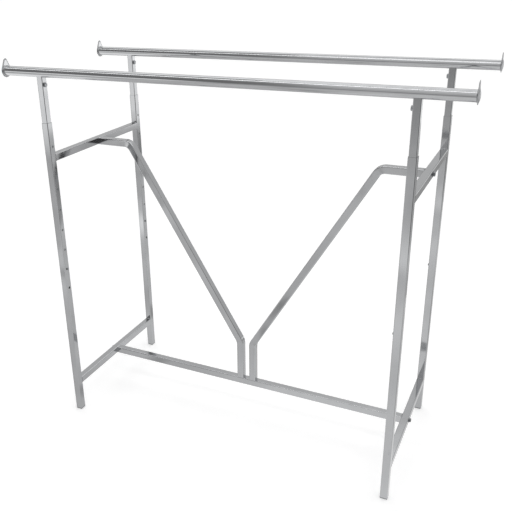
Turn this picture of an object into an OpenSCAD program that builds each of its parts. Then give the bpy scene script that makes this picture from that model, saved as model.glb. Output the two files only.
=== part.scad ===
// Double-bar garment rack. Two welded end frames stand on four square feet and are
// tied by a low stretcher and a V-brace of two bent tubes. Two round hangrails run
// side by side, each on a pair of square uprights that telescope in the posts and
// lock at evenly spaced holes with spring buttons.
// Millimetres. +Z up, +X along the hangrails, -Y the front.
// Origin: on the floor, at the centre of the footprint.

/* [Hangrails] */
// Length of each hangrail over the flat faces of its end plates
rail_len = 1512; // [1400:1:1830]
// Outside diameter of the round hangrail tube
rail_d = 31.75; // [28:0.05:36]
// Wall thickness of the round hangrail tube
rail_wall = 1.5; // [1:0.1:2.5]
// Distance between the two hangrail centre lines, and between front and back posts
rail_gap = 546; // [420:1:700]
// Radius of the round lower part of the teardrop plate that closes each end of a hangrail
plate_r = 22.5; // [20.5:0.5:28]
// Radius of the rounded tip at the top of an end plate
tip_r = 9.5; // [5:0.5:14]
// Height of the tip's centre above the hangrail's centre line
tip_rise = 30.5; // [24:0.5:40]
// Thickness of an end plate
plate_t = 2.5; // [2:0.1:5]
// Height of the shallow dome on the outer face of an end plate
dome_h = 4.5; // [2:0.1:8]

/* [End frames] */
// Distance between the left and right posts, centre to centre
frame_gap = 1220; // [1100:1:1300]
// Outside width of every square frame tube
tube_w = 25.4; // [25:0.05:30]
// Wall thickness of the square frame tubes
tube_wall = 1.2; // [1:0.1:1.3]
// Outside corner radius of the square frame tubes
tube_r = 2.6; // [2:0.1:3.2]
// Length of an outer post's tube, above its foot
post_len = 1143; // [1120:1:1200]
// Height of the upper crossbars' centre line
upper_z = 1026; // [950:1:1040]
// Height of the lower crossbars' and stretcher's centre line
lower_z = 125; // [100:1:180]
// Leg length of the weld bead under and over each crossbar end
weld = 2.4; // [1.5:0.1:4]

/* [Feet] */
// Visible height of the plastic foot under each post
foot_h = 5; // [3:0.5:10]
// Length of the foot's plug inside the post
foot_plug = 20; // [12:1:40]

/* [V-brace] */
// Distance between the centre lines of the two brace tubes where they stand on the stretcher
brace_gap = 50; // [36:1:80]
// Height at which each brace tube turns from upright to slanting
brace_low_z = 296; // [240:1:340]
// Slope of the brace tubes above the horizontal
brace_a = 59.1; // [58:0.1:62]
// Bend radius of the lower bends, to the tube's centre line
brace_low_r = 48; // [40:1:70]
// Bend radius of the upper bends, to the tube's centre line
brace_high_r = 34; // [28:1:45]

/* [Height adjustment] */
// Outside width of the square telescoping uprights
inner_w = 22.2; // [22:0.05:22.3]
// Wall thickness of the telescoping uprights
inner_wall = 1.2; // [1:0.1:1.3]
// Outside corner radius of the telescoping uprights
inner_r = 2.2; // [1.8:0.1:2.6]
// Number of locking holes in each post
hole_n = 8; // [5:1:8]
// Spacing of the locking holes
hole_pitch = 76.2; // [70:0.1:76.2]
// Height of the lowest locking hole
hole_z0 = 533.4; // [500:0.1:560]
// Diameter of a locking hole
hole_d = 8.8; // [8.6:0.1:10]
// Locking hole that holds the uprights in the stored pose, counted from the lowest
rest_notch = 1; // [0:1:4]
// Height of a hangrail's centre line above its spring buttons
rail_over_button = 705.4; // [690:0.1:760]
// Diameter of a spring button
button_d = 8; // [7:0.1:8]
// How far a spring button stands out of the post
button_out = 3.8; // [2.5:0.1:5]
// Length of the upright below its spring button
upright_tail = 38; // [36:1:60]

/* [Fasteners] */
// Shank diameter of the frame and upright bolts
bolt_d = 7.9; // [6:0.1:8]
// Width across the flats of the bolt heads
hex_af = 13; // [11:0.1:14]
// Height of the bolt heads
hex_h = 5.5; // [4:0.1:7]
// Outside diameter of the washers on the crossbars
washer_d = 17.5; // [16:0.1:20]
// Thickness of the washers
washer_t = 1.6; // [1:0.1:2.5]
// Distance from a hangrail's centre line down to the bolt in the upright
upright_bolt_drop = 40; // [34:1:60]

/* [Hidden] */
$fn = 64;
xp = frame_gap/2;
yp = rail_gap/2;
post_top = foot_h + post_len;
rest_hole_z = hole_z0 + rest_notch*hole_pitch;
rail_z = rest_hole_z + rail_over_button;
rail_r = rail_d/2;
bore_w = tube_w - 2*tube_wall;
ibore_w = inner_w - 2*inner_wall;
ctr_x = xp - tube_w/2;
stretch_top = lower_z + tube_w/2;
bolt_r = bolt_d/2;
stub_w = 19.05;
stub_wall = 1.2;
stub_bore = stub_w - 2*stub_wall;
stub_len = 62;
plug_len = 22;
chrome = [0.78, 0.79, 0.81];
steel = [0.62, 0.63, 0.65];
plastic = [0.36, 0.37, 0.38];
spring = [0.45, 0.46, 0.48];

// A square with round corners
module rsq(w, r) {
    square([w, w - 2*r], center = true);
    square([w - 2*r, w], center = true);
    for (a = [-1, 1], b = [-1, 1]) translate([a*(w/2 - r), b*(w/2 - r)]) circle(r);
}

// Section of a square tube
module ring2(w, t, r) {
    difference() {
        rsq(w, r);
        rsq(w - 2*t, max(r - t, 0.6));
    }
}

// Square tubes along each axis, centred on the other two
module tube_z(w, t, r, l) linear_extrude(l) ring2(w, t, r);
module tube_x(w, t, r, l) rotate([0, 90, 0]) linear_extrude(l, center = true) ring2(w, t, r);
module tube_y(w, t, r, l) rotate([90, 0, 0]) linear_extrude(l, center = true) ring2(w, t, r);

// Round bar along X from x0 to x1
module bar_x(x0, x1, r) translate([min(x0, x1), 0, 0]) rotate([0, 90, 0]) cylinder(h = abs(x1 - x0), r = r);

// Outer post: its locking holes face the middle of the rack
module post(sx, sy) {
    translate([sx*xp, sy*yp, 0]) difference() {
        translate([0, 0, foot_h]) tube_z(tube_w, tube_wall, tube_r, post_len);
        for (k = [0 : hole_n - 1]) translate([0, 0, hole_z0 + k*hole_pitch])
            bar_x(-sx*(tube_w/2 - tube_wall - 1), -sx*(tube_w/2 + 1), hole_d/2);
    }
}

// Plastic foot: a flange with a relieved edge under the post and a ribbed plug inside it
module glide(sx, sy) {
    translate([sx*xp, sy*yp, 0]) {
        linear_extrude(1.2) rsq(tube_w - 3.6, tube_r);
        translate([0, 0, 1.2]) linear_extrude(foot_h - 1.2) rsq(tube_w - 0.4, tube_r);
        translate([0, 0, foot_h]) difference() {
            linear_extrude(foot_plug) rsq(bore_w - 0.3, max(tube_r - tube_wall, 0.6));
            translate([0, 0, 2]) linear_extrude(foot_plug) rsq(bore_w - 5, 1.2);
        }
    }
}

// Crossbar between a front and a back post, drilled through for the middle bolt
module crossbar(sx, z) {
    translate([sx*xp, 0, z]) difference() {
        tube_y(tube_w, tube_wall, tube_r, rail_gap - tube_w);
        bar_x(-tube_w, tube_w, bolt_r + 0.4);
    }
}

// Weld beads over and under both ends of one crossbar
module crossbar_beads(sx, z) {
    for (sy = [-1, 1], up = [-1, 1])
        translate([sx*xp, sy*(yp - tube_w/2), z + up*tube_w/2])
            rotate([0, 90, 0]) linear_extrude(tube_w - 2*tube_r - 1, center = true)
                polygon([[0, 0], [-up*weld, 0], [-up*weld*0.35, -sy*weld*0.65], [0, -sy*weld]]);
}

// Square plug with a threaded bore, its mouth at x = 0 and its body towards -X
module plug_x(w) {
    difference() {
        translate([-plug_len, 0, 0]) rotate([0, 90, 0]) linear_extrude(plug_len) rsq(w - 0.3, 1.2);
        bar_x(-plug_len - 1, 1, bolt_r + 0.05);
    }
}

// Hexagon-head bolt along X: the head's seat at x = 0, the shank towards -X
module bolt_x(l) {
    rotate([0, 90, 0]) {
        difference() {
            rotate(30) cylinder(h = hex_h, d = hex_af/cos(30), $fn = 6);
            translate([0, 0, hex_h - 0.5]) difference() {
                cylinder(h = 2, d = hex_af*2);
                translate([0, 0, -0.5]) cylinder(h = 1.01, d1 = hex_af*1.12 + 0.6, d2 = hex_af*0.94);
            }
        }
    }
    bar_x(-l, 0.5, bolt_r);
}

module washer_x() difference() {
    bar_x(0, washer_t, washer_d/2);
    bar_x(-1, washer_t + 1, bolt_r + 0.25);
}

// One bent brace tube on the +X side: upright, lower bend, slant, upper bend, level.
// Each piece is drawn in the frame at the end of the one before it, its axis along +Z.
brace_t1 = brace_low_r*tan((90 - brace_a)/2);
brace_t2 = brace_high_r*tan(brace_a/2);
brace_slant = (upper_z - brace_low_z)/sin(brace_a);
brace_high_x = brace_gap/2 + brace_slant*cos(brace_a);
// A bend runs a degree into the straight tubes at both ends, and is drawn in by a hair
bend_lap = 1;
bend_in = 0.05;
module brace_bend(r, a, w, c) translate([r, 0, 0]) rotate([-90, 0, 0]) rotate(180 - bend_lap)
    rotate_extrude(angle = a + 2*bend_lap) translate([r, 0]) rsq(w - bend_in, c);
module after_bend(r, a) translate([r, 0, 0]) rotate([0, a, 0]) translate([-r, 0, 0]) children();
// Solid rod of square section along the brace's path, running past both ends by e
module brace_path(w, c, e) {
    l1 = brace_low_z - brace_t1 - stretch_top;
    l2 = brace_slant - brace_t1 - brace_t2;
    l3 = ctr_x - brace_high_x - brace_t2;
    translate([brace_gap/2, 0, stretch_top]) {
        translate([0, 0, -e]) linear_extrude(l1 + e) rsq(w, c);
        translate([0, 0, l1]) {
            brace_bend(brace_low_r, 90 - brace_a, w, c);
            after_bend(brace_low_r, 90 - brace_a) {
                linear_extrude(l2) rsq(w, c);
                translate([0, 0, l2]) {
                    brace_bend(brace_high_r, brace_a, w, c);
                    after_bend(brace_high_r, brace_a) linear_extrude(l3 + e) rsq(w, c);
                }
            }
        }
    }
}
module brace_tube() difference() {
    brace_path(tube_w, tube_r, 0);
    brace_path(bore_w, tube_r - tube_wall, 1);
}

// Upright bolt that comes up through the stretcher into a brace tube's foot plug
foot_bolt_r = 3;
module foot_bolt(x) translate([x, 0, lower_z - tube_w/2]) {
    translate([0, 0, -4]) cylinder(h = 4, d = 10/cos(30), $fn = 6);
    translate([0, 0, -0.5]) cylinder(h = tube_w + 16.5, r = foot_bolt_r);
}
module foot_plug_at(x) translate([x, 0, stretch_top]) difference() {
    linear_extrude(18) rsq(bore_w - 0.3, 1.2);
    translate([0, 0, -1]) cylinder(h = 20, r = foot_bolt_r + 0.05);
}

// Round hangrail tube
module hangrail(sy) translate([0, sy*yp, rail_z]) difference() {
    bar_x(-rail_len/2 + plate_t, rail_len/2 - plate_t, rail_r);
    bar_x(-rail_len/2, rail_len/2, rail_r - rail_wall);
}

// Teardrop outline of an end plate, its round part centred on the hangrail and its tip towards +Y,
// grown by g. The straight flanks run a hair inside the common tangents of the two circles.
module teardrop2(g) {
    k = asin((plate_r - tip_r)/tip_rise);
    a = plate_r + g - 0.3;
    b = tip_r + g - 0.3;
    circle(plate_r + g);
    translate([0, tip_rise]) circle(tip_r + g);
    polygon([[a*cos(k), a*sin(k)], [b*cos(k), tip_rise + b*sin(k)],
        [-b*cos(k), tip_rise + b*sin(k)], [-a*cos(k), a*sin(k)]]);
}

// Shallow dome standing on its edge at z = 0
module dome(r, h) {
    ball = (r*r + h*h)/(2*h);
    half = asin(r/ball);
    rotate_extrude() polygon(concat([[0, 0]],
        [for (i = [0 : 12]) [ball*sin(half*(1 - i/12)), ball*cos(half*(1 - i/12)) - ball + h]]));
}

// End plate: a thin teardrop with a slightly smaller raised field on its outer face and a dome over the tube's end
module end_plate(sx, sy) translate([sx*(rail_len/2 - plate_t), sy*yp, rail_z])
    rotate([0, 0, sx > 0 ? 0 : 180]) rotate([90, 0, 90]) {
        linear_extrude(plate_t - 0.6) teardrop2(0);
        translate([0, 0, plate_t - 0.6]) linear_extrude(0.6) teardrop2(-1.2);
        translate([0, 0, plate_t - 0.3]) dome(plate_r - 2.8, dome_h + 0.3);
    }

// Weld ring between a hangrail and its end plate
module plate_bead(sx, sy) translate([sx*(rail_len/2 - plate_t), sy*yp, rail_z]) rotate([0, -sx*90, 0])
    rotate_extrude() polygon([[rail_r, 0], [rail_r + 1.8, 0], [rail_r + 1, 1], [rail_r, 1.8]]);

// Short square stub welded under the hangrail, saddle-cut to the tube
module stub(sx, sy) translate([sx*xp, sy*yp, 0]) difference() {
    translate([0, 0, rail_z - stub_len]) tube_z(stub_w, stub_wall, 1.8, stub_len);
    translate([0, 0, rail_z]) bar_x(-stub_w, stub_w, rail_r + 0.02);
    translate([0, 0, rail_z - upright_bolt_drop]) bar_x(0, -sx*stub_w, bolt_r + 0.3);
}

// Telescoping upright, saddle-cut under the hangrail
module upright(sx, sy) translate([sx*xp, sy*yp, 0]) difference() {
    translate([0, 0, rest_hole_z - upright_tail])
        tube_z(inner_w, inner_wall, inner_r, rail_z - rest_hole_z + upright_tail);
    translate([0, 0, rail_z]) bar_x(-inner_w, inner_w, rail_r + 0.02);
    translate([0, 0, rail_z - upright_bolt_drop]) bar_x(0, -sx*inner_w, bolt_r + 0.3);
    translate([0, 0, rest_hole_z]) bar_x(0, -sx*inner_w, button_d/2 + 0.3);
}

// Bolt from the middle of the rack through the upright's wall into the stub
module upright_bolt(sx, sy) translate([sx*(xp - inner_w/2), sy*yp, rail_z - upright_bolt_drop])
    rotate([0, 0, sx > 0 ? 180 : 0]) bolt_x(9);

// Nut welded inside the stub
module stub_nut(sx, sy) translate([sx*(xp - stub_bore/2 + 0.05), sy*yp, rail_z - upright_bolt_drop])
    rotate([0, 0, sx > 0 ? 0 : 180]) difference() {
        rotate([0, 90, 0]) rotate(30) cylinder(h = 5.5, d = hex_af/cos(30), $fn = 6);
        bar_x(-1, 7, bolt_r + 0.05);
    }

// Leaf of the U-shaped spring clip, drawn in its own plane with the button towards +X
clip_t = 0.9;
clip_in = ibore_w/2 - 1.9;
clip_back = -ibore_w/2 + 0.2;
clip_ro = (clip_in - clip_back)/2;
clip_cx = (clip_in + clip_back)/2;
clip_drop = 22;
module clip2() {
    translate([clip_in - clip_t, -clip_drop]) square([clip_t, clip_drop + 8]);
    translate([clip_back, -clip_drop]) square([clip_t, clip_drop - 2]);
    translate([clip_cx, -clip_drop]) difference() {
        circle(clip_ro);
        circle(clip_ro - clip_t);
        translate([-clip_ro - 1, 0]) square([2*clip_ro + 2, clip_ro + 1]);
    }
}
module clip(sx, sy) translate([sx*xp, sy*yp, rest_hole_z]) rotate([0, 0, sx > 0 ? 180 : 0]) difference() {
    rotate([90, 0, 0]) linear_extrude(12, center = true) clip2();
    bar_x(clip_in - clip_t - 1, clip_in + 1, 2.3);
}

// Spring button: domed head, flange behind the upright's wall, rivet through the clip
module button(sx, sy) translate([sx*xp, sy*yp, rest_hole_z]) rotate([0, 0, sx > 0 ? 180 : 0]) rotate([0, 90, 0])
    rotate_extrude() polygon(concat(
        [[0, clip_in - clip_t - 1.3], [3.1, clip_in - clip_t - 1.3], [3.1, clip_in - clip_t - 0.2], [2, clip_in - clip_t - 0.2],
         [2, clip_in + 0.1], [5.4, clip_in + 0.1], [5.4, ibore_w/2 - 0.1], [button_d/2, ibore_w/2 - 0.1]],
        [for (a = [0 : 15 : 90]) [button_d/2 - 1.6 + 1.6*cos(a), tube_w/2 + button_out - 1.6 + 1.6*sin(a)]],
        [[0, tube_w/2 + button_out]]));

module post_front_left() color(chrome) post(-1, -1);
module post_front_right() color(chrome) post(1, -1);
module post_back_left() color(chrome) post(-1, 1);
module post_back_right() color(chrome) post(1, 1);
module crossbar_upper_left() color(chrome) crossbar(-1, upper_z);
module crossbar_upper_right() color(chrome) crossbar(1, upper_z);
module crossbar_lower_left() color(chrome) crossbar(-1, lower_z);
module crossbar_lower_right() color(chrome) crossbar(1, lower_z);
module welds_left() color(chrome) { crossbar_beads(-1, upper_z); crossbar_beads(-1, lower_z); }
module welds_right() color(chrome) { crossbar_beads(1, upper_z); crossbar_beads(1, lower_z); }
// Low stretcher between the lower crossbars
module stretcher() color(chrome) translate([0, 0, lower_z]) difference() {
    tube_x(tube_w, tube_wall, tube_r, 2*ctr_x);
    for (s = [-1, 1]) translate([s*brace_gap/2, 0, -tube_w]) cylinder(h = 2*tube_w, r = foot_bolt_r + 0.3);
}
module brace_left() color(chrome) rotate([0, 0, 180]) brace_tube();
module brace_right() color(chrome) brace_tube();
module stretcher_plugs() color(steel) for (a = [0, 180]) rotate([0, 0, a]) translate([ctr_x, 0, lower_z]) plug_x(bore_w);
module brace_top_plugs() color(steel) for (a = [0, 180]) rotate([0, 0, a]) translate([ctr_x, 0, upper_z]) plug_x(bore_w);
module brace_foot_plugs() color(steel) for (s = [-1, 1]) foot_plug_at(s*brace_gap/2);
module crossbar_bolts() color(steel) for (a = [0, 180], z = [lower_z, upper_z])
    rotate([0, 0, a]) translate([xp + tube_w/2 + washer_t, 0, z]) bolt_x(tube_w + washer_t + 16);
module crossbar_washers() color(steel) for (a = [0, 180], z = [lower_z, upper_z])
    rotate([0, 0, a]) translate([xp + tube_w/2, 0, z]) washer_x();
module brace_foot_bolts() color(steel) for (s = [-1, 1]) foot_bolt(s*brace_gap/2);
module foot_front_left() color(plastic) glide(-1, -1);
module foot_front_right() color(plastic) glide(1, -1);
module foot_back_left() color(plastic) glide(-1, 1);
module foot_back_right() color(plastic) glide(1, 1);
module hangrail_front() color(chrome) hangrail(-1);
module hangrail_back() color(chrome) hangrail(1);
module end_plate_front_left() color(chrome) end_plate(-1, -1);
module end_plate_front_right() color(chrome) end_plate(1, -1);
module end_plate_back_left() color(chrome) end_plate(-1, 1);
module end_plate_back_right() color(chrome) end_plate(1, 1);
module plate_welds_front() color(chrome) for (s = [-1, 1]) plate_bead(s, -1);
module plate_welds_back() color(chrome) for (s = [-1, 1]) plate_bead(s, 1);
module upright_front_left() color(chrome) upright(-1, -1);
module upright_front_right() color(chrome) upright(1, -1);
module upright_back_left() color(chrome) upright(-1, 1);
module upright_back_right() color(chrome) upright(1, 1);
module stub_front_left() color(chrome) stub(-1, -1);
module stub_front_right() color(chrome) stub(1, -1);
module stub_back_left() color(chrome) stub(-1, 1);
module stub_back_right() color(chrome) stub(1, 1);
module upright_bolts_front() color(steel) for (s = [-1, 1]) upright_bolt(s, -1);
module upright_bolts_back() color(steel) for (s = [-1, 1]) upright_bolt(s, 1);
module stub_nuts_front() color(steel) for (s = [-1, 1]) stub_nut(s, -1);
module stub_nuts_back() color(steel) for (s = [-1, 1]) stub_nut(s, 1);
module clip_front_left() color(spring) clip(-1, -1);
module clip_front_right() color(spring) clip(1, -1);
module clip_back_left() color(spring) clip(-1, 1);
module clip_back_right() color(spring) clip(1, 1);
module button_front_left() color(steel) button(-1, -1);
module button_front_right() color(steel) button(1, -1);
module button_back_left() color(steel) button(-1, 1);
module button_back_right() color(steel) button(1, 1);

post_front_left();
post_front_right();
post_back_left();
post_back_right();
crossbar_upper_left();
crossbar_upper_right();
crossbar_lower_left();
crossbar_lower_right();
welds_left();
welds_right();
stretcher();
brace_left();
brace_right();
stretcher_plugs();
brace_top_plugs();
brace_foot_plugs();
crossbar_bolts();
crossbar_washers();
brace_foot_bolts();
foot_front_left();
foot_front_right();
foot_back_left();
foot_back_right();
hangrail_front();
hangrail_back();
end_plate_front_left();
end_plate_front_right();
end_plate_back_left();
end_plate_back_right();
plate_welds_front();
plate_welds_back();
upright_front_left();
upright_front_right();
upright_back_left();
upright_back_right();
stub_front_left();
stub_front_right();
stub_back_left();
stub_back_right();
upright_bolts_front();
upright_bolts_back();
stub_nuts_front();
stub_nuts_back();
clip_front_left();
clip_front_right();
clip_back_left();
clip_back_right();
button_front_left();
button_front_right();
button_back_left();
button_back_right();
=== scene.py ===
import bpy, bmesh, math
from mathutils import Matrix, Vector, noise


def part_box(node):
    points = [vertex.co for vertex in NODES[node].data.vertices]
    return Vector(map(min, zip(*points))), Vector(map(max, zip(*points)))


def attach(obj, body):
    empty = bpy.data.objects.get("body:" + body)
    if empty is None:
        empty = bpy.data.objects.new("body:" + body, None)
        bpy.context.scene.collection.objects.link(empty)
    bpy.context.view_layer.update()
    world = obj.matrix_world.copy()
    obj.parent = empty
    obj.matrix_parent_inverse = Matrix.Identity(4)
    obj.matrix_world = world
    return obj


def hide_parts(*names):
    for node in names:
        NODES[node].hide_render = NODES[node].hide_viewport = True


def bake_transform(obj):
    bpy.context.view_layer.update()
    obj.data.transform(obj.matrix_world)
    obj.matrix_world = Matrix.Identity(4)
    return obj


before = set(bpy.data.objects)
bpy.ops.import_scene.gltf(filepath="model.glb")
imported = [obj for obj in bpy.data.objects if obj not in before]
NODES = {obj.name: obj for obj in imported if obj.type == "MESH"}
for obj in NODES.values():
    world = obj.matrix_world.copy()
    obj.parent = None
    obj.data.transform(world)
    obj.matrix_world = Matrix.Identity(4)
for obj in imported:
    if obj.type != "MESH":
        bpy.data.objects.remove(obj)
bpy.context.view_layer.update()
S = bpy.context.scene


# ------------------------------------------------------------------ camera
def make_camera():
    a, e, roll = math.radians(26.802), math.radians(22.891), math.radians(-1.604)
    back = Vector((math.sin(a) * math.cos(e), -math.cos(a) * math.cos(e), math.sin(e)))
    right = Vector((math.cos(a), math.sin(a), 0))
    up = back.cross(right)
    c, s = math.cos(roll), math.sin(roll)
    r2, u2 = right * c + up * s, up * c - right * s
    cam = bpy.data.cameras.new("camera")
    cam.sensor_fit = "HORIZONTAL"
    cam.sensor_width = 36
    cam.lens = 697.643 / 512 * 36
    cam.shift_x = (256 - 216.593) / 512
    cam.shift_y = (252.582 - 256) / 512
    cam.clip_end = 200
    ob = bpy.data.objects.new("camera", cam)
    S.collection.objects.link(ob)
    m = Matrix((r2, u2, back)).transposed().to_4x4()
    m.translation = Vector((0.948204, -2.113885, 1.645775))
    ob.matrix_world = m
    S.camera = ob


make_camera()


# ------------------------------------------------------------------ node helpers
class Tree:
    def __init__(self, tree):
        self.t = tree

    def set(self, sock, v):
        if hasattr(v, "is_output"):
            self.t.links.new(v, sock)
        else:
            sock.default_value = v

    def math(self, op, a, b=0.0, clamp=False):
        node = self.t.nodes.new("ShaderNodeMath")
        node.operation = op
        node.use_clamp = clamp
        self.set(node.inputs[0], a)
        self.set(node.inputs[1], b)
        return node.outputs[0]

    def ramp(self, fac, stops):
        """Grey ramp; its stops hold half the value, and the result is doubled, so values may pass 1."""
        node = self.t.nodes.new("ShaderNodeValToRGB")
        el = node.color_ramp.elements
        while len(el) < len(stops):
            el.new(0.5)
        for e, (p, c) in zip(el, stops):
            e.position = p
            e.color = (c / 2, c / 2, c / 2, 1)
        self.set(node.inputs[0], fac)
        return self.math("MULTIPLY", node.outputs[0], 2.0)

    def stretch(self, vec, scale):
        mp = self.t.nodes.new("ShaderNodeMapping")
        mp.inputs["Scale"].default_value = scale
        self.set(mp.inputs["Vector"], vec)
        return mp.outputs[0]

    def noise(self, vec, scale, detail=2.0, rough=0.5, stretch=None):
        if stretch:
            vec = self.stretch(vec, stretch)
        node = self.t.nodes.new("ShaderNodeTexNoise")
        self.set(node.inputs["Vector"], vec)
        node.inputs["Scale"].default_value = scale
        node.inputs["Detail"].default_value = detail
        node.inputs["Roughness"].default_value = rough
        return node.outputs[0]

    def mix(self, fac, a, b):
        node = self.t.nodes.new("ShaderNodeMix")
        node.data_type = "RGBA"
        self.set(node.inputs[0], fac)
        self.set(node.inputs[6], a if hasattr(a, "is_output") else (*a, 1))
        self.set(node.inputs[7], b if hasattr(b, "is_output") else (*b, 1))
        return node.outputs[2]

    def fmix(self, fac, a, b):
        node = self.t.nodes.new("ShaderNodeMix")
        node.data_type = "FLOAT"
        self.set(node.inputs[0], fac)
        self.set(node.inputs[2], a)
        self.set(node.inputs[3], b)
        return node.outputs[0]

    def span(self, v, a, b, lo, hi, smooth=False):
        node = self.t.nodes.new("ShaderNodeMapRange")
        node.interpolation_type = "SMOOTHSTEP" if smooth else "LINEAR"
        self.set(node.inputs[0], v)
        for i, x in enumerate((a, b, lo, hi)):
            node.inputs[i + 1].default_value = x
        return node.outputs[0]

    def rng(self, v, lo, hi):
        return self.span(v, 0.3, 0.7, lo, hi)

    def step(self, v, a, b):
        return self.span(v, a, b, 0.0, 1.0, True)

    def dot(self, vec, axis):
        node = self.t.nodes.new("ShaderNodeVectorMath")
        node.operation = "DOT_PRODUCT"
        self.set(node.inputs[0], vec)
        node.inputs[1].default_value = axis
        return node.outputs["Value"]

    def length(self, vec):
        node = self.t.nodes.new("ShaderNodeVectorMath")
        node.operation = "LENGTH"
        self.set(node.inputs[0], vec)
        return node.outputs["Value"]

    def bump(self, height, strength, dist, normal=None):
        node = self.t.nodes.new("ShaderNodeBump")
        node.inputs["Strength"].default_value = strength
        node.inputs["Distance"].default_value = dist
        self.set(node.inputs["Height"], height)
        if normal is not None:
            self.set(node.inputs["Normal"], normal)
        return node.outputs[0]


def material(name):
    m = bpy.data.materials.new(name)
    m.use_nodes = True
    t = Tree(m.node_tree)
    bsdf = next(n for n in m.node_tree.nodes if n.type == "BSDF_PRINCIPLED")
    co = m.node_tree.nodes.new("ShaderNodeTexCoord").outputs["Object"]
    return m, t, bsdf, co


CHROME = (0.548, 0.555, 0.566)
LONG = {"x": (0.5, 1, 1), "y": (1, 0.5, 1), "z": (1, 1, 0.5)}
HAIR = {"x": (2, 420, 420), "y": (420, 2, 420), "z": (420, 420, 2)}


def chrome(name, along, wave=1.0, rough=(0.045, 0.10), sleeve=None):
    """Chrome plate on drawn tube: a slow swell in the flats, polishing lines along the tube,
    cloudy handling marks that dull it a little, and a few fine rubs. Below the height sleeve the plate
    is scuffed and dulled from sliding in the post, and its colour is also darkened there as painted shade inside the
    post."""
    m, t, b, co = material(name)
    slow = t.noise(co, 10.0, 1, 0.4, stretch=LONG[along])
    hair = t.noise(co, 1.0, 3, 0.6, stretch=HAIR[along])
    cloud = t.noise(co, 6.0, 4, 0.6)
    rubs = t.noise(co, 38.0, 5, 0.7, stretch=LONG[along])
    tint = t.mix(t.rng(cloud, 0, 1), tuple(c * 0.94 for c in CHROME), tuple(min(1, c * 1.04) for c in CHROME))
    tint = t.mix(t.span(rubs, 0.60, 0.74, 0.0, 0.35, True), tint, tuple(c * 0.80 for c in CHROME))
    r = t.math("ADD", t.rng(cloud, rough[0], rough[1]), t.rng(hair, 0.0, 0.045))
    if sleeve:
        ragged = t.math("ADD", t.dot(co, (0, 0, 1)), t.rng(rubs, -0.004, 0.004))
        # painted shade inside the post: below the post top the plate colour is darkened, besides the real scuffing
        # and dulling
        in_post_wear_and_shade = t.math("SUBTRACT", 1.0, t.step(ragged, sleeve - 0.006, sleeve - 0.001))
        streak_noise = t.noise(co, 1.0, 3, 0.7, stretch=(900, 900, 14))
        tint = t.mix(t.math("MULTIPLY", in_post_wear_and_shade, t.rng(streak_noise, 0.75, 1.0)), tint, (0.34, 0.345, 0.355))
        r = t.math("ADD", r, t.math("MULTIPLY", in_post_wear_and_shade, t.rng(streak_noise, 0.08, 0.20)))
    t.set(b.inputs["Base Color"], tint)
    b.inputs["Metallic"].default_value = 1.0
    r = t.math("ADD", r, t.span(rubs, 0.58, 0.75, 0.0, 0.09, True))
    t.set(b.inputs["Roughness"], r)
    n1 = t.bump(slow, 0.20 * wave, 0.010)
    n2 = t.bump(hair, 0.05, 0.00012, n1)
    t.set(b.inputs["Normal"], n2)
    return m


def cap_metal(name):
    """The end plates: bright chrome towards the rail; the outward-facing surfaces get a rougher satin finish, and
    their colour is darkened there as painted shade.
    """
    m = chrome(name, "z", 0.5, (0.05, 0.10))
    t, b = Tree(m.node_tree), next(n for n in m.node_tree.nodes if n.type == "BSDF_PRINCIPLED")
    geo = m.node_tree.nodes.new("ShaderNodeNewGeometry")
    tex = m.node_tree.nodes.new("ShaderNodeTexCoord")
    # painted shade: the colour turns darker on surfaces that face away from the rail, found from their normal,
    # besides the rougher finish
    side = t.math("SIGN", t.dot(tex.outputs["Object"], (1, 0, 0)))
    outward_shade_and_satin = t.math("MULTIPLY", side, t.dot(geo.outputs["Normal"], (1, 0, 0)))
    outward_shade_and_satin = t.span(outward_shade_and_satin, 0.35, 0.70, 0.0, 1.0, True)
    tint, rough = b.inputs["Base Color"].links[0].from_socket, b.inputs["Roughness"].links[0].from_socket
    t.set(b.inputs["Base Color"], t.mix(outward_shade_and_satin, tint, (0.33, 0.335, 0.345)))
    t.set(b.inputs["Roughness"], t.math("ADD", rough, t.math("MULTIPLY", outward_shade_and_satin, 0.24)))
    return m


def weld_metal():
    m, t, b, co = material("plated_weld")
    n = t.noise(co, 420, 3, 0.6)
    t.set(b.inputs["Base Color"], t.mix(t.rng(n, 0, 1), (0.40, 0.405, 0.415), (0.52, 0.525, 0.535)))
    b.inputs["Metallic"].default_value = 1.0
    t.set(b.inputs["Roughness"], t.rng(n, 0.14, 0.28))
    t.set(b.inputs["Normal"], t.bump(n, 0.25, 0.0003))
    return m


def zinc(name, lo, hi):
    """Zinc-plated hardware: grey, a little cloudy, with fine turning marks."""
    m, t, b, co = material(name)
    n = t.noise(co, 90, 4, 0.6)
    fine = t.noise(co, 1100, 2, 0.5)
    t.set(b.inputs["Base Color"], t.mix(t.rng(n, 0, 1), (lo, lo * 1.03, lo * 1.08), (hi, hi * 1.02, hi * 1.05)))
    b.inputs["Metallic"].default_value = 1.0
    t.set(b.inputs["Roughness"], t.rng(n, 0.24, 0.42))
    t.set(b.inputs["Normal"], t.bump(fine, 0.15, 0.0002))
    return m


def plastic():
    m, t, b, co = material("moulded_plastic")
    n = t.noise(co, 40, 3, 0.6)
    grain = t.noise(co, 1400, 2, 0.5)
    t.set(b.inputs["Base Color"], t.mix(t.rng(n, 0, 1), (0.19, 0.195, 0.20), (0.26, 0.265, 0.27)))
    t.set(b.inputs["Roughness"], t.rng(n, 0.42, 0.58))
    t.set(b.inputs["Normal"], t.bump(grain, 0.25, 0.0002))
    return m


def spring_steel():
    m, t, b, co = material("spring_steel")
    n = t.noise(co, 150, 3, 0.6)
    lines = t.noise(co, 1.0, 2, 0.5, stretch=(300, 300, 20))
    t.set(b.inputs["Base Color"], t.mix(t.rng(n, 0, 1), (0.24, 0.245, 0.25), (0.36, 0.365, 0.37)))
    b.inputs["Metallic"].default_value = 1.0
    t.set(b.inputs["Roughness"], t.math("ADD", t.rng(n, 0.18, 0.30), t.rng(lines, 0.0, 0.06)))
    return m


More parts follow.
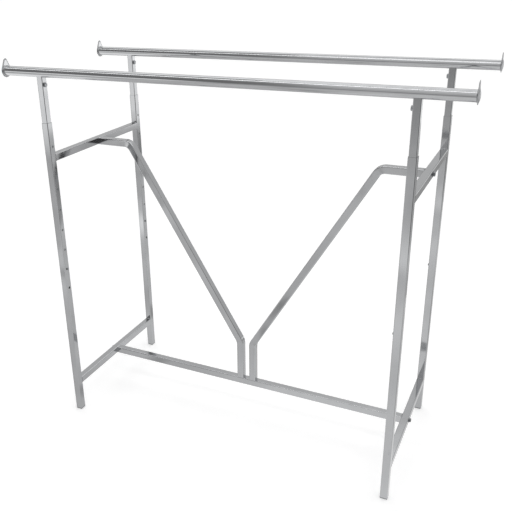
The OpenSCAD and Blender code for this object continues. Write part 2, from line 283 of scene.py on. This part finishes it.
M = {
    "rail": chrome("chrome_hangrail", "x", 0.16, (0.04, 0.07)),
    "plate": cap_metal("chrome_end_plate"),
    "x": chrome("chrome_along_x", "x", 0.8),
    "y": chrome("chrome_along_y", "y", 1.0),
    "z": chrome("chrome_along_z", "z", 1.0),
    "brace": chrome("chrome_brace", "z", 0.9),
    "weld": weld_metal(),
    "zinc": zinc("zinc_plate", 0.22, 0.34),
    "bolt": zinc("zinc_plate_bright", 0.34, 0.46),
    "upright": chrome("chrome_upright", "z", 1.0, sleeve=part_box("post_front_left")[1].z),
    "plastic": plastic(),
    "spring": spring_steel(),
}


def kind_of(name):
    for start, key in (
        ("hangrail", "rail"), ("end_plate", "plate"), ("plate_welds", "weld"), ("welds", "weld"), ("stretcher_plugs", "zinc"),
        ("stretcher", "x"), ("crossbar_upper", "y"), ("crossbar_lower", "y"), ("crossbar", "zinc"), ("post", "z"), ("upright_bolts", "bolt"),
        ("upright", "upright"), ("stub_nuts", "zinc"), ("stub", "z"), ("brace_left", "brace"), ("brace_right", "brace"), ("brace", "zinc"),
        ("foot", "plastic"), ("clip", "spring"), ("button", "spring"),
    ):
        if name.startswith(start):
            return key
    return "z"


for name, ob in NODES.items():
    ob.data.materials.clear()
    ob.data.materials.append(M[kind_of(name)])


# ------------------------------------------------------------------ mesh helpers
class Shape:
    def __init__(self):
        self.v, self.f = [], []

    def skin(self, rings, cap0=True, cap1=True, loop=False):
        base, n, m = len(self.v), len(rings[0]), len(rings)
        for r in rings:
            self.v += [tuple(p) for p in r]
        for i in range(m if loop else m - 1):
            a, b = base + i * n, base + ((i + 1) % m) * n
            for j in range(n):
                k = (j + 1) % n
                self.f.append((a + j, a + k, b + k, b + j))
        if cap0 and not loop:
            self.f.append(tuple(reversed(range(base, base + n))))
        if cap1 and not loop:
            self.f.append(tuple(range(base + (m - 1) * n, base + m * n)))

    def piece(self, name, mat, body, slot, *nodes, sharp=30):
        me = bpy.data.meshes.new(name)
        me.from_pydata(self.v, [], self.f)
        bm = bmesh.new()
        bm.from_mesh(me)
        bmesh.ops.recalc_face_normals(bm, faces=bm.faces)
        bm.to_mesh(me)
        bm.free()
        me.polygons.foreach_set("use_smooth", [True] * len(me.polygons))
        me.set_sharp_from_angle(angle=math.radians(sharp))
        me.materials.append(mat)
        ob = bpy.data.objects.new(name, me)
        S.collection.objects.link(ob)
        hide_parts(*nodes)
        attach(ob, body)
        return ob


def rsq(w, r, n=6, m=0):
    """Square section with round corners, n steps a corner and m extra points on each flat."""
    corners = []
    for k, (su, sv) in enumerate(((1, 1), (-1, 1), (-1, -1), (1, -1))):
        row = []
        for i in range(n + 1):
            a = math.radians(90 * (k + i / n))
            row.append((su * (w / 2 - r) + r * math.cos(a), sv * (w / 2 - r) + r * math.sin(a)))
        corners.append(row)
    pts = []
    for k in range(4):
        p, q = corners[k][-1], corners[(k + 1) % 4][0]
        pts += corners[k]
        for j in range(1, m + 1):
            f = j / (m + 1)
            pts.append((p[0] * (1 - f) + q[0] * f, p[1] * (1 - f) + q[1] * f))
    return pts


def circle(r, n, p, u, v):
    return [p + u * (r * math.cos(2 * math.pi * i / n)) + v * (r * math.sin(2 * math.pi * i / n)) for i in range(n)]


def frame_of(axis):
    ref = Vector((0, 0, 1)) if abs(axis.z) < 0.9 else Vector((1, 0, 0))
    u = ref.cross(axis).normalized()
    return u, axis.cross(u)


MM = 0.001
EX = Vector((1, 0, 0))


# ------------------------------------------------------------------ hangrails and their end plates
def hangrail(side):
    node = "hangrail_" + side
    lo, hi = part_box(node)
    r = (hi.y - lo.y) / 2
    c = (lo + hi) / 2
    u, v = Vector((0, 1, 0)), Vector((0, 0, 1))
    wall, n, k = 1.5 * MM, 128, 14
    xs = [lo.x + (hi.x - lo.x) * i / k for i in range(k + 1)]
    outer = [circle(r, n, Vector((x, c.y, c.z)), u, v) for x in xs]
    inner = [circle(r - wall, n, Vector((x, c.y, c.z)), u, v) for x in (xs[-1], xs[0])]
    s = Shape()
    s.skin(outer + inner, loop=True)
    s.piece("tube_hangrail_" + side, M["rail"], side + "_rail", "chrome_tube", node)
    return c, r


PLATE_R, TIP_R, TIP_RISE = 22.5 * MM, 9.5 * MM, 30.5 * MM


def teardrop(g, n1=22, n2=44):
    k = math.asin((PLATE_R - TIP_R) / TIP_RISE)
    pts = []
    for i in range(n1 + 1):
        a = k + (math.pi - 2 * k) * i / n1
        pts.append(((TIP_R + g) * math.cos(a), TIP_RISE + (TIP_R + g) * math.sin(a)))
    for i in range(n2 + 1):
        a = math.pi - k + (math.pi + 2 * k) * i / n2
        pts.append(((PLATE_R + g) * math.cos(a), (PLATE_R + g) * math.sin(a)))
    return pts


DOME_R = PLATE_R - 2.8 * MM


def end_plate(side, hand, c):
    """Pressed plate: flat field, an edge that rolls back from the rail on its inner side and is rounded outside,
    and a shallow dome over the tube's end that runs into the field in a small fillet."""
    node = "end_plate_%s_%s" % (side, hand)
    lo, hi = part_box(node)
    s = -1 if hand == "left" else 1
    x_in = hi.x if s < 0 else lo.x
    thick = hi.x - lo.x
    rows = ((-8.5, 0.0), (-5.0, 0.0), (-4.3, 0.06), (-3.2, 0.34), (-2.0, 0.78), (-1.0, 1.22), (-0.3, 1.62), (0.0, 1.9), (-0.1, 2.12),
            (-0.4, 2.34), (-1.0, 2.46), (-2.0, 2.5), (-8.5, 2.5))
    rings = [[Vector((x_in + s * d * MM, c.y + s * p, c.z + q)) for p, q in teardrop(g * MM)] for g, d in rows]
    sh = Shape()
    sh.skin(rings)
    top, base = thick, 2.5 * MM
    h = top - base
    ball = (DOME_R * DOME_R + h * h) / (2 * h)
    half = math.asin(DOME_R / ball)
    u, v = Vector((0, 1, 0)), Vector((0, 0, 1))
    at = lambda d: Vector((x_in + s * d, c.y, c.z))
    rows = [(DOME_R - 0.6 * MM, base - 1.2 * MM), (DOME_R + 0.2 * MM, base - 0.4 * MM), (DOME_R + 0.2 * MM, base), (DOME_R - 0.4 * MM, base + 0.12 * MM)]
    for i in range(1, 18):
        a = half * (1 - i / 18)
        rows.append((ball * math.sin(a), base + ball * math.cos(a) - ball + h))
    sh.skin([circle(r, 72, at(d), u, v) for r, d in rows] + [circle(0.25 * MM, 72, at(top), u, v)])
    sh.piece("cap_%s_%s" % (side, hand), M["plate"], side + "_rail", "chrome_tube", node, sharp=40)
    return x_in, s


def bead_section(leg, n=5, p=1.5):
    return [(leg * math.cos(a) ** (2 / p), leg * math.sin(a) ** (2 / p)) for a in (math.pi / 2 * i / n for i in range(n + 1))]


def plate_beads(side, ends, c, r):
    sh = Shape()
    for x_in, s in ends:
        n, rings = 216, []
        for i in range(n):
            a = 2 * math.pi * i / n
            leg = (1.5 + 0.16 * math.sin(36 * a) + 0.12 * noise.noise(Vector((3 * math.cos(a), 3 * math.sin(a), s + c.y)))) * MM
            row = [(-0.3 * MM, 0.0)] + [(max(h, 0.0), max(d, 0.0)) for d, h in bead_section(leg)] + [(-0.3 * MM, leg)]
            rings.append([Vector((x_in - s * d, c.y + (r + h) * math.cos(a), c.z + (r + h) * math.sin(a))) for h, d in row])
        sh.skin(rings, loop=True)
    sh.piece("bead_plates_" + side, M["weld"], side + "_rail", "chrome_tube", "plate_welds_" + side, sharp=60)


for side in ("front", "back"):
    centre, radius = hangrail(side)
    ends = [end_plate(side, hand, centre) for hand in ("left", "right")]
    plate_beads(side, ends, centre, radius)


# ------------------------------------------------------------------ bent brace tubes
BRACE_A, BRACE_LOW_R, BRACE_HIGH_R, BRACE_LOW_Z = math.radians(59.1), 48 * MM, 34 * MM, 296 * MM


def brace(hand, s):
    node = "brace_" + hand
    lo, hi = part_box(node)
    w = hi.y - lo.y
    x0 = min(abs(lo.x), abs(hi.x)) + w / 2
    x1 = max(abs(lo.x), abs(hi.x))
    z0, z1 = lo.z, hi.z - w / 2
    a, r1, r2 = BRACE_A, BRACE_LOW_R, BRACE_HIGH_R
    t1, t2 = r1 * math.tan((math.pi / 2 - a) / 2), r2 * math.tan(a / 2)
    xh = x0 + (z1 - BRACE_LOW_Z) / math.tan(a)
    path = []  # x, z, heading, distance

    def put(x, z, h):
        d = 0.0 if not path else path[-1][3] + math.hypot(x - path[-1][0], z - path[-1][1])
        if not path or d - path[-1][3] > 1e-6:
            path.append((x, z, h, d))

    def line(xa, za, xb, zb, h):
        length = math.hypot(xb - xa, zb - za)
        cuts = [0.0] + [f * MM for f in (3, 6, 9, 12, 16, 20, 26, 34) if f * MM < length / 2]
        cuts = cuts + [length - q for q in reversed(cuts)]
        for q in cuts:
            put(xa + (xb - xa) * q / length, za + (zb - za) * q / length, h)

    line(x0, z0, x0, BRACE_LOW_Z - t1, math.pi / 2)
    d1 = path[-1][3] + r1 * (math.pi / 2 - a) / 2
    for i in range(15):
        p = (math.pi / 2 - a) * i / 14
        put(x0 + r1 - r1 * math.cos(p), BRACE_LOW_Z - t1 + r1 * math.sin(p), math.pi / 2 - p)
    xs, zs = xh - t2 * math.cos(a), z1 - t2 * math.sin(a)
    line(path[-1][0], path[-1][1], xs, zs, a)
    d2 = path[-1][3] + r2 * a / 2
    cx, cz = xs + r2 * math.sin(a), zs - r2 * math.cos(a)
    for i in range(25):
        p = a - a * i / 24
        put(cx - r2 * math.sin(p), cz + r2 * math.cos(p), p)
    line(path[-1][0], path[-1][1], x1, z1, 0.0)

    def ring(st, width, r):
        x, z, h, d = st
        g1 = math.exp(-((d - d1) / (8.5 * MM)) ** 2)
        g2 = math.exp(-((d - d2) / (10.5 * MM)) ** 2)
        deep, wide = 3.2 * MM * g1 + 4.6 * MM * g2, 0.45 * MM * g1 + 0.7 * MM * g2
        half, outward_shade_and_satin = width / 2, []
        for u, v in rsq(width, r, 6, 9):
            across = max(0.0, 1 - (v / (half - r * 0.6)) ** 2)
            if u > half - r * 0.8:
                u -= deep * across ** 0.7
            v += math.copysign(wide, v) * max(0.0, min(1.0, 0.5 + u / width)) * (1 - across)
            nx, nz = math.sin(h), -math.cos(h)
            outward_shade_and_satin.append(Vector((s * (x + nx * u), v, z + nz * u)))
        return outward_shade_and_satin

    wall, r = 1.2 * MM, 2.6 * MM
    rings = [ring(st, w, r) for st in path] + [ring(st, w - 2 * wall, r - wall) for st in reversed(path)]
    sh = Shape()
    sh.skin(rings, loop=True)
    sh.piece("tube_brace_" + hand, M["brace"], "base", "chrome_tube", node, sharp=34)


brace("left", -1)
brace("right", 1)


# ------------------------------------------------------------------ crossbar weld beads
def crossbar_beads(hand, s):
    sh = Shape()
    for level in ("upper", "lower"):
        lo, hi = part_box("crossbar_%s_%s" % (level, hand))
        cx, cz, w = (lo.x + hi.x) / 2, (lo.z + hi.z) / 2, hi.z - lo.z
        for sy, y in ((-1, lo.y), (1, hi.y)):
            for up in (-1, 1):
                rings, n, span = [], 52, w - 6.4 * MM
                for i in range(n + 1):
                    f = i / n
                    x = cx + (f - 0.5) * span
                    taper = min(1.0, 6 * f + 0.35, 6 * (1 - f) + 0.35)
                    leg = (2.0 + 0.2 * math.sin(f * span / MM * 3.6) + 0.22 * noise.noise(Vector((x * 400, sy * 3 + up, cz * 9)))) * MM * taper
                    row = [(-0.2 * MM, -0.2 * MM)] + [(max(d, 0.0), max(h, 0.0)) for d, h in bead_section(leg)]
                    rings.append([Vector((x, y - sy * d, cz + up * (w / 2 + h))) for d, h in row])
                sh.skin(rings)
    sh.piece("bead_frame_" + hand, M["weld"], "base", "chrome_tube", "welds_" + hand, sharp=60)


crossbar_beads("left", -1)
crossbar_beads("right", 1)


# ------------------------------------------------------------------ bolts, washers and feet
def hex_bolt(sh, seat, axis, af, h, shank_r, shank_l, turn=0.0, n=48):
    u, v = frame_of(axis)

    def row(radius, depth):
        outward_shade_and_satin = []
        for i in range(n):
            a = 2 * math.pi * i / n
            r = radius(a) if callable(radius) else radius
            d = depth(a) if callable(depth) else depth
            outward_shade_and_satin.append(seat + axis * d + u * (r * math.cos(a + turn)) + v * (r * math.sin(a + turn)))
        return outward_shade_and_satin

    def flat(a):
        return (af / 2) / math.cos(((a + math.pi / 6) % (math.pi / 3)) - math.pi / 6)

    r0 = af * 0.465
    rows = [row(shank_r - 0.6 * MM, -shank_l), row(shank_r, -shank_l + 0.6 * MM), row(shank_r, 0.0), row(af * 0.46, 0.0), row(af * 0.46, 0.4 * MM),
            row(lambda a: flat(a) - 0.15 * MM, 0.4 * MM), row(flat, 0.6 * MM), row(flat, lambda a: h - (flat(a) - r0) * 0.577), row(r0, h),
            row(r0 * 0.8, h), row(r0 * 0.72, h - 0.18 * MM), row(r0 * 0.3, h - 0.22 * MM)]
    sh.skin(rows)


def washer(sh, seat, axis, ri, ro, t, n=56):
    u, v = frame_of(axis)
    e = 0.35 * MM
    rows = ((ri, 0.0), (ro - e, 0.0), (ro - 0.1 * MM, 0.1 * MM), (ro, e), (ro, t - e), (ro - 0.1 * MM, t - 0.1 * MM), (ro - e, t), (ri + e, t), (ri, t - e))
    sh.skin([circle(r, n, seat + axis * d, u, v) for r, d in rows], loop=True)


bolts, washers = Shape(), Shape()
w_lo, w_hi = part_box("crossbar_washers")
b_lo, b_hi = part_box("crossbar_bolts")
for hand, s in (("left", -1), ("right", 1)):
    for j, level in enumerate(("upper", "lower")):
        lo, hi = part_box("crossbar_%s_%s" % (level, hand))
        z = (lo.z + hi.z) / 2
        face = hi.x if s > 0 else -lo.x
        seat = w_hi.x
        hex_bolt(bolts, Vector((s * seat, 0, z)), EX * s, 13 * MM, b_hi.x - seat, 3.95 * MM, 43 * MM, turn=0.35 + 0.9 * j + 0.5 * s)
        washer(washers, Vector((s * face, 0, z)), EX * s, 4.2 * MM, (w_hi.z - z) if level == "upper" else 8.75 * MM, seat - face)
bolts.piece("bolts_crossbars", M["zinc"], "base", "zinc_steel", "crossbar_bolts")
washers.piece("washers_crossbars", M["zinc"], "base", "zinc_steel", "crossbar_washers")

f_lo, f_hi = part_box("brace_foot_bolts")
foot_bolts = Shape()
s_lo, s_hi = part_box("stretcher")
b_lo, b_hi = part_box("brace_foot_plugs")
bx = (b_hi.x - (b_hi.y - b_lo.y) / 2)
for s in (-1, 1):
    hex_bolt(foot_bolts, Vector((s * bx, 0, s_lo.z)), Vector((0, 0, -1)), 10 * MM, s_lo.z - f_lo.z, 3 * MM, f_hi.z - s_lo.z, turn=0.4 * s)
foot_bolts.piece("bolts_brace_feet", M["zinc"], "base", "zinc_steel", "brace_foot_bolts")

for side in ("front", "back"):
    lo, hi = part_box("upright_bolts_" + side)
    sh = Shape()
    for hand, s in (("left", -1), ("right", 1)):
        a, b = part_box("upright_%s_%s" % (side, hand))
        face = a.x if s > 0 else b.x
        hex_bolt(sh, Vector((face, (lo.y + hi.y) / 2, (lo.z + hi.z) / 2)), EX * -s, 13 * MM, 5.5 * MM, 3.95 * MM, 9 * MM, turn=0.3 * s)
    sh.piece("bolts_uprights_" + side, M["bolt"], side + "_rail", "zinc_steel", "upright_bolts_" + side)

for side in ("front", "back"):
    for hand, s in (("left", -1), ("right", 1)):
        # The spring clip: a copy of the clip's mesh, set into world space in place of the clip node
        node = "clip_%s_%s" % (side, hand)
        lo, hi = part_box(node)
        me = NODES[node].data.copy()
        me.name = "spring_%s_%s" % (side, hand)
        ob = bpy.data.objects.new(me.name, me)
        S.collection.objects.link(ob)
        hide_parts(node)
        y, z = (lo.y + hi.y) / 2, (lo.z + hi.z) / 2
        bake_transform(ob)

for side in ("front", "back"):
    for hand in ("left", "right"):
        node = "foot_%s_%s" % (side, hand)
        lo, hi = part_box(node)
        cx, cy = (lo.x + hi.x) / 2, (lo.y + hi.y) / 2
        rows = ((0, 20.6, 2.2), (0.15, 21.4, 2.5), (0.5, 21.8, 2.7), (1.2, 21.8, 2.7), (1.25, 23.8, 2.7), (1.5, 24.6, 2.7), (2.0, 25.0, 2.7), (4.7, 25.0, 2.7),
                (5.0, 24.5, 2.6), (5.0, 22.7, 1.4), (24.0, 22.5, 1.4), (25.0, 21.4, 1.2))
        sh = Shape()
        sh.skin([[Vector((cx + u, cy + v, z * MM)) for u, v in rsq(w * MM, r * MM, 8)] for z, w, r in rows])
        sh.piece("glide_%s_%s" % (side, hand), M["plastic"], "base", "foot_plastic", node)


# ------------------------------------------------------------------ floor, world and lamps
K = 0.873


def make_stage():
    me = bpy.data.meshes.new("floor")
    n, R = 128, 90.0
    vs = [(R * math.cos(2 * math.pi * i / n), R * math.sin(2 * math.pi * i / n), 0) for i in range(n)]
    me.from_pydata(vs, [], [list(range(n))])
    ob = bpy.data.objects.new("floor", me)
    S.collection.objects.link(ob)
    m, t, b, co = material("pale_floor")
    v = t.noise(co, 3, 3, 0.5)
    t.set(b.inputs["Base Color"], t.mix(t.rng(v, 0, 1), (0.90, 0.90, 0.90), (0.93, 0.93, 0.93)))
    b.inputs["Roughness"].default_value = 0.9
    b.inputs["Specular IOR Level"].default_value = 0.0
    b.inputs["Emission Color"].default_value = (1, 1, 1, 1)
    b.inputs["Emission Strength"].default_value = 0.38
    # What the chrome mirrors: for all but camera rays the floor glows with painted light, in pools and patches, with
    # a painted dark sector on the camera side and dimmer noise blotches, falling off away from the rack
    r = t.length(co)
    glow = t.ramp(t.math("DIVIDE", r, 12.0), [(0.0, 0.80), (0.21, 0.80), (0.42, 0.60), (0.67, 0.42), (1.0, 0.40)])

    def pool(axis, lo, hi, near, far, value, glow):
        c = t.math("DIVIDE", t.dot(co, (*axis, 0)), t.math("MAXIMUM", r, 0.01))
        return t.fmix(t.math("MULTIPLY", t.step(c, lo, hi), t.step(r, near, far)), glow, value)

    def patch(cx, cy, hx, hy, soft, gain, glow):
        mx = t.math("ABSOLUTE", t.math("SUBTRACT", t.dot(co, (1, 0, 0)), cx))
        my = t.math("ABSOLUTE", t.math("SUBTRACT", t.dot(co, (0, 1, 0)), cy))
        mask = t.math("MULTIPLY", t.span(mx, hx - soft, hx + soft, 1.0, 0.0, True), t.span(my, hy - soft, hy + soft, 1.0, 0.0, True))
        return t.fmix(mask, glow, t.math("MULTIPLY", glow, gain))

    glow = pool((-0.65, -0.76), 0.960, 0.990, 4.2, 6.2, 1.28, glow)
    glow = pool((0.64, 0.77), 0.87, 0.935, 4.0, 5.2, 1.32, glow)
    glow = pool((0.64, 0.77), 0.93, 0.96, 8.6, 9.6, 1.75, glow)
    # painted dark sector: the floor's glow drops low on the camera side
    glow = pool((0.707, -0.707), 0.82, 0.95, 2.3, 3.1, 0.10, glow)
    glow = patch(-2.25, -0.25, 0.85, 0.95, 0.15, 1.75, glow)
    glow = patch(1.35, 2.4, 0.4, 3.0, 0.2, 0.56, glow)
    glow = patch(0.40, -1.30, 0.35, 1.5, 0.15, 1.18, glow)
    # painted blotches of brighter and dimmer glow, so the reflections in the chrome are uneven
    n1 = t.noise(co, 1.7, 2, 0.5)
    n2 = t.noise(co, 2.6, 1, 0.4)
    glow = t.math("MULTIPLY", glow, t.rng(n1, 0.84, 1.14))
    glow = t.math("MULTIPLY", glow, t.span(n2, 0.30, 0.38, 0.62, 1.0, True))
    em = m.node_tree.nodes.new("ShaderNodeEmission")
    t.set(em.inputs["Strength"], t.math("MULTIPLY", glow, K))
    lp = m.node_tree.nodes.new("ShaderNodeLightPath")
    mx = m.node_tree.nodes.new("ShaderNodeMixShader")
    t.set(mx.inputs[0], lp.outputs["Is Camera Ray"])
    t.set(mx.inputs[1], em.outputs[0])
    t.set(mx.inputs[2], b.outputs[0])
    outward_shade_and_satin = next(q for q in m.node_tree.nodes if q.type == "OUTPUT_MATERIAL")
    t.set(outward_shade_and_satin.inputs["Surface"], mx.outputs[0])
    me.materials.append(m)

    w = bpy.data.worlds.new("studio")
    S.world = w
    w.use_nodes = True
    t = Tree(w.node_tree)
    bg = next(q for q in w.node_tree.nodes if q.type == "BACKGROUND")
    d = w.node_tree.nodes.new("ShaderNodeTexCoord").outputs["Generated"]
    x, y, z = t.dot(d, (1, 0, 0)), t.dot(d, (0, 1, 0)), t.dot(d, (0, 0, 1))
    left = t.ramp(z, [(0.0, 0.26), (0.45, 0.27), (0.62, 0.36), (0.85, 0.46), (1.0, 0.55)])
    right = t.ramp(z, [(0.0, 0.66), (0.5, 0.75), (0.62, 0.98), (0.85, 0.80), (1.0, 0.52)])
    back = t.ramp(z, [(0.0, 0.66), (0.25, 0.70), (0.50, 0.72), (0.58, 0.78), (0.66, 1.45), (0.86, 1.50), (0.94, 0.80), (1.0, 0.52)])
    front = t.fmix(t.step(x, -0.42, -0.25), left, right)
    up = t.fmix(t.step(y, 0.04, 0.22), front, back)
    flat = t.math("SQRT", t.math("MAXIMUM", t.math("SUBTRACT", 1.0, t.math("MULTIPLY", z, z)), 0.0001))
    az = t.math("DIVIDE", t.dot(d, (0.707, -0.707, 0)), flat)
    gap = t.math("MULTIPLY", t.step(az, 0.84, 0.95), t.span(z, 0.28, 0.42, 1.0, 0.0, True))
    up = t.fmix(gap, up, t.math("MULTIPLY", up, 0.15))
    up = t.math("MULTIPLY", up, K)
    lp = w.node_tree.nodes.new("ShaderNodeLightPath")
    t.set(bg.inputs["Strength"], t.fmix(lp.outputs["Is Camera Ray"], up, 1.0))
    bg.inputs["Color"].default_value = (1, 1, 1, 1)


def area(name, loc, target, sx, sy, radiance):
    L = bpy.data.lights.new(name, "AREA")
    L.shape = "RECTANGLE"
    L.size, L.size_y = sx, sy
    L.energy = radiance * math.pi * sx * sy
    ob = bpy.data.objects.new(name, L)
    S.collection.objects.link(ob)
    z = -(Vector(target) - Vector(loc)).normalized()
    y = z.cross(EX).normalized()
    x = y.cross(z)
    m = Matrix((x, y, z)).transposed().to_4x4()
    m.translation = Vector(loc)
    ob.matrix_world = m
    return ob


make_stage()
area("panel", (0.15, -0.2, 3.2), (0.15, -0.2, 0.0), 1.5, 0.45, 1.0)
area("strip", (-0.9, -1.05, 3.2), (-0.9, -0.2, 1.3), 5.0, 0.22, 2.9)

S.view_settings.view_transform = "Standard"
S.view_settings.look = "None"
S.view_settings.exposure = 0.0
S.view_settings.gamma = 1.0
